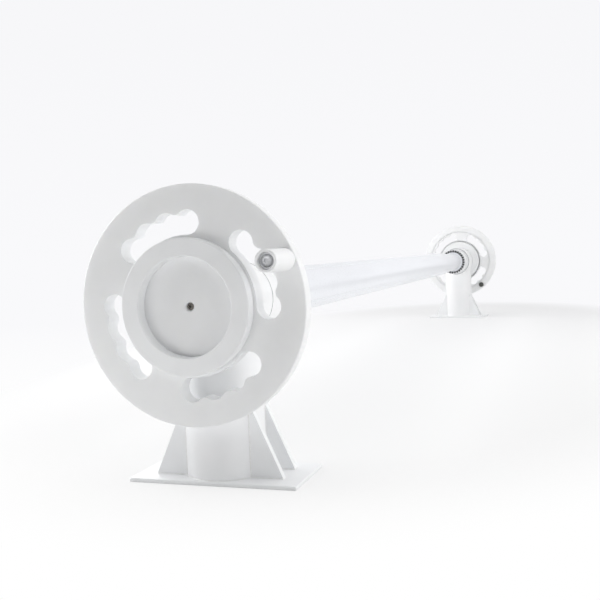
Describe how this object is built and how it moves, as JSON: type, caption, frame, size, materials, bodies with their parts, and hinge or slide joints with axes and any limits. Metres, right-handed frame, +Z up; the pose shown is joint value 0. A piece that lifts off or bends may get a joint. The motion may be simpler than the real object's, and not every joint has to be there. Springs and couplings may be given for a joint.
{
  "type": "pool cover reel",
  "caption": "Pool cover reel: a long telescopic tube in two low pedestal stands, with a slotted handwheel and a crank grip at each end.",
  "frame": {"origin": "on the ground, midway between the two handwheels, below the tube axis", "axes": "+X along the tube from the outer tube's handwheel to the inner tube's, +Z up, +Y across the reel"},
  "size_m": [3.3046, 0.35, 0.448],
  "materials": {
    "moulded_hdpe": "white HDPE sheet and turned parts, satin, machined edges",
    "pipe_plastic": "white extruded plastic pipe and sheet, semi-gloss, hot-gas welded",
    "coated_tube": "white powder coat on aluminium tube, smooth semi-gloss",
    "black_nylon": "black glass-filled nylon, moulded",
    "stainless": "stainless steel fasteners"
  },
  "bodies": {
    "near_stand": {"near_base_plate": "pipe_plastic", "near_post": "pipe_plastic", "near_gussets": "pipe_plastic", "near_housing": "pipe_plastic", "near_sleeve": "pipe_plastic", "near_inner_ring": "moulded_hdpe", "near_tooth_ring": "black_nylon", "near_outer_ring": "black_nylon"},
    "near_reel": {"near_wheel": "moulded_hdpe", "near_boss_ring": "moulded_hdpe", "near_flange": "moulded_hdpe", "near_flange_screws": "stainless", "near_set_screws": "stainless", "near_hub_plug": "moulded_hdpe", "near_centre_screw": "stainless", "near_centre_washer": "stainless", "near_grip_bolt": "stainless", "near_grip_washer": "stainless", "near_grip_nut": "stainless", "near_nut_cap": "black_nylon", "outer_tube": "coated_tube", "guide_bush": "moulded_hdpe", "lock_screws": "stainless"},
    "near_handgrip": {"near_grip": "moulded_hdpe"},
    "far_stand": {"far_base_plate": "pipe_plastic", "far_post": "pipe_plastic", "far_gussets": "pipe_plastic", "far_housing": "pipe_plastic", "far_sleeve": "pipe_plastic", "far_inner_ring": "moulded_hdpe", "far_tooth_ring": "black_nylon", "far_outer_ring": "black_nylon"},
    "far_reel": {"far_wheel": "moulded_hdpe", "far_boss_ring": "moulded_hdpe", "far_flange": "moulded_hdpe", "far_flange_screws": "stainless", "far_set_screws": "stainless", "far_hub_plug": "moulded_hdpe", "far_centre_screw": "stainless", "far_centre_washer": "stainless", "far_grip_bolt": "stainless", "far_grip_washer": "stainless", "far_grip_nut": "stainless", "far_nut_cap": "black_nylon", "inner_tube": "coated_tube", "slide_ring": "black_nylon"},
    "far_handgrip": {"far_grip": "moulded_hdpe"}
  },
  "joints": [
    {"name": "near_spin", "type": "hinge", "parent": "near_stand", "child": "near_reel", "pos_m": [-1.465, 0, 0.273], "axis": [1, 0, 0], "continuous": true},
    {"name": "telescope", "type": "slide", "parent": "near_stand", "child": "far_stand", "axis": [1, 0, 0], "range_m": [-0.35, 0.45]},
    {"name": "far_spin", "type": "hinge", "parent": "far_stand", "child": "far_reel", "pos_m": [1.465, 0, 0.273], "axis": [1, 0, 0], "continuous": true},
    {"name": "near_grip_spin", "type": "hinge", "parent": "near_reel", "child": "near_handgrip", "pos_m": [-1.605, -0.14636, 0.33513], "axis": [1, 0, 0], "continuous": true},
    {"name": "far_grip_spin", "type": "hinge", "parent": "far_reel", "child": "far_handgrip", "pos_m": [1.605, -0.1022, 0.1512], "axis": [1, 0, 0], "continuous": true}
  ],
  "couplings": [
    {"joint": "far_spin", "follows": "near_spin", "ratio": 1}
  ]
}
